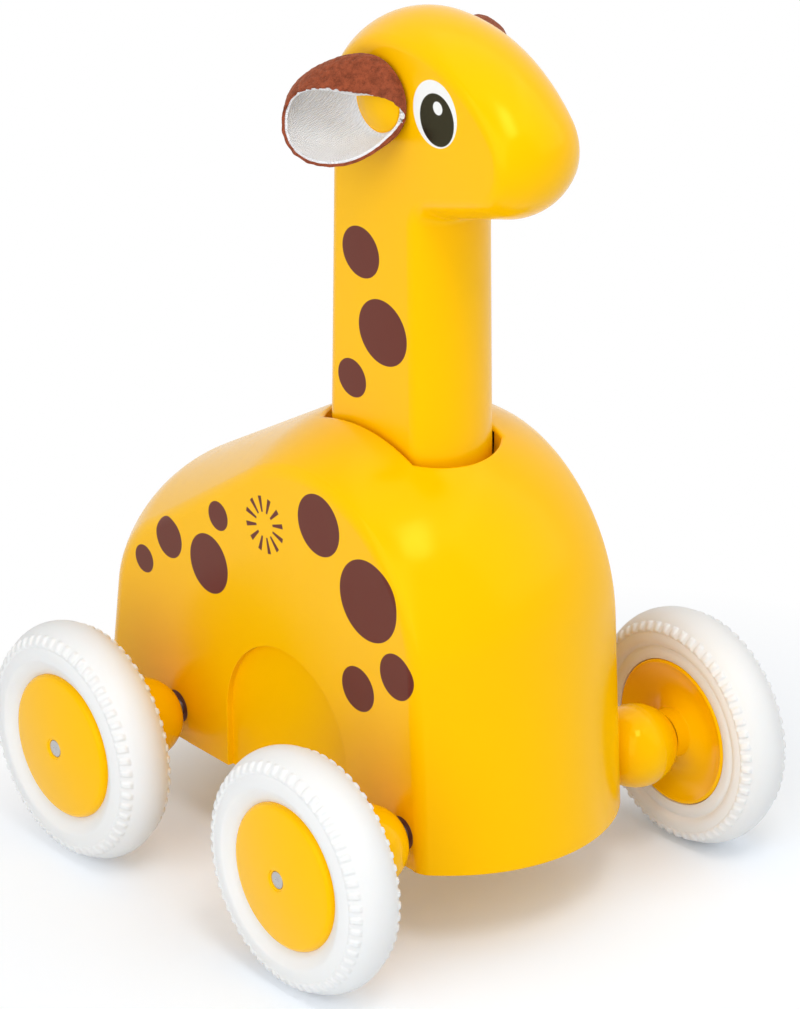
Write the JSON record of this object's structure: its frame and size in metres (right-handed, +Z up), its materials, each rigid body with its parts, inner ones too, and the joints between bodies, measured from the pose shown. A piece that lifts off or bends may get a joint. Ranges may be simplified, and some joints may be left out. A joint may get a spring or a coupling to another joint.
{
  "type": "press and go toy",
  "caption": "Press-and-go giraffe on wheels: pressing its sprung neck down drives the rear axle through a rack and gears; white tyres, ball spacers and pegged felt ears.",
  "frame": {"origin": "on the floor under the middle of the toy's box: between the left and right wheels, halfway between the front of the front tyres and the rear of the body", "axes": "+Z up, -Y the way the giraffe faces and rolls, +X to the giraffe's left"},
  "size_m": [0.1008, 0.1172, 0.1612],
  "materials": {
    "body_lacquer": "satin gloss yellow",
    "wood_lacquer": "yellow lacquer on turned and sawn wood",
    "ear_felt": "brown suede outside, white twill inside",
    "tyre_white": "soft matt white",
    "steel": "plain bright steel",
    "nylon": "natural nylon",
    "bush_dark": "dark brown moulded",
    "gear_red": "red moulded",
    "gear_blue": "blue moulded",
    "gear_amber": "amber moulded"
  },
  "bodies": {
    "base": {"body_shell": "body_lacquer", "base_plate": "body_lacquer", "base_screws": "steel", "gear_frame_left": "nylon", "gear_frame_right": "nylon", "frame_screws": "steel", "pinion_pin": "steel", "idler_pin": "steel", "return_spring": "steel", "front_bush_left": "bush_dark", "front_bush_right": "bush_dark", "rear_bush_left": "bush_dark", "rear_bush_right": "bush_dark"},
    "neck": {"neck_head": "wood_lacquer", "plunger_rack": "nylon", "plunger_screws": "steel", "ear_left": "ear_felt", "ear_right": "ear_felt", "ear_peg_left": "wood_lacquer", "ear_peg_right": "wood_lacquer"},
    "compound": {"compound_gear": "gear_red"},
    "idler": {"idler_gear": "gear_blue"},
    "drive": {"drive_gear": "gear_amber"},
    "rear_wheels": {"rear_axle": "steel", "clutch_hub": "nylon", "rear_hub_left": "body_lacquer", "rear_hub_right": "body_lacquer", "rear_tyre_left": "tyre_white", "rear_tyre_right": "tyre_white", "rear_ball_left": "wood_lacquer", "rear_ball_right": "wood_lacquer"},
    "front_wheels": {"front_axle": "steel", "front_hub_left": "body_lacquer", "front_hub_right": "body_lacquer", "front_tyre_left": "tyre_white", "front_tyre_right": "tyre_white", "front_ball_left": "wood_lacquer", "front_ball_right": "wood_lacquer"}
  },
  "joints": [
    {"name": "neck_slide", "type": "slide", "parent": "base", "child": "neck", "axis": [0, 0, -1], "range_m": [0, 0.02], "stiffness_N_per_m": 300, "springref_m": -0.02, "deforming": ["return_spring"]},
    {"name": "compound_spin", "type": "hinge", "parent": "base", "child": "compound", "pos_m": [0, 0.01765, 0.05398], "axis": [1, 0, 0], "range_deg": [0, 204.7]},
    {"name": "idler_spin", "type": "hinge", "parent": "base", "child": "idler", "pos_m": [0, 0.03274, 0.03636], "axis": [1, 0, 0], "range_deg": [-219.4, 0]},
    {"name": "drive_spin", "type": "hinge", "parent": "base", "child": "drive", "pos_m": [0, 0.02775, 0.022], "axis": [1, 0, 0], "range_deg": [0, 614]},
    {"name": "rear_axle_spin", "type": "hinge", "parent": "base", "child": "rear_wheels", "pos_m": [0, 0.02775, 0.022], "axis": [1, 0, 0], "continuous": true},
    {"name": "front_axle_spin", "type": "hinge", "parent": "base", "child": "front_wheels", "pos_m": [0, -0.03665, 0.022], "axis": [1, 0, 0], "continuous": true}
  ],
  "couplings": [
    {"joint": "compound_spin", "follows": "neck_slide", "rad_per_m": 178.57},
    {"joint": "idler_spin", "follows": "neck_slide", "rad_per_m": -191.33},
    {"joint": "drive_spin", "follows": "neck_slide", "rad_per_m": 535.71}
  ]
}
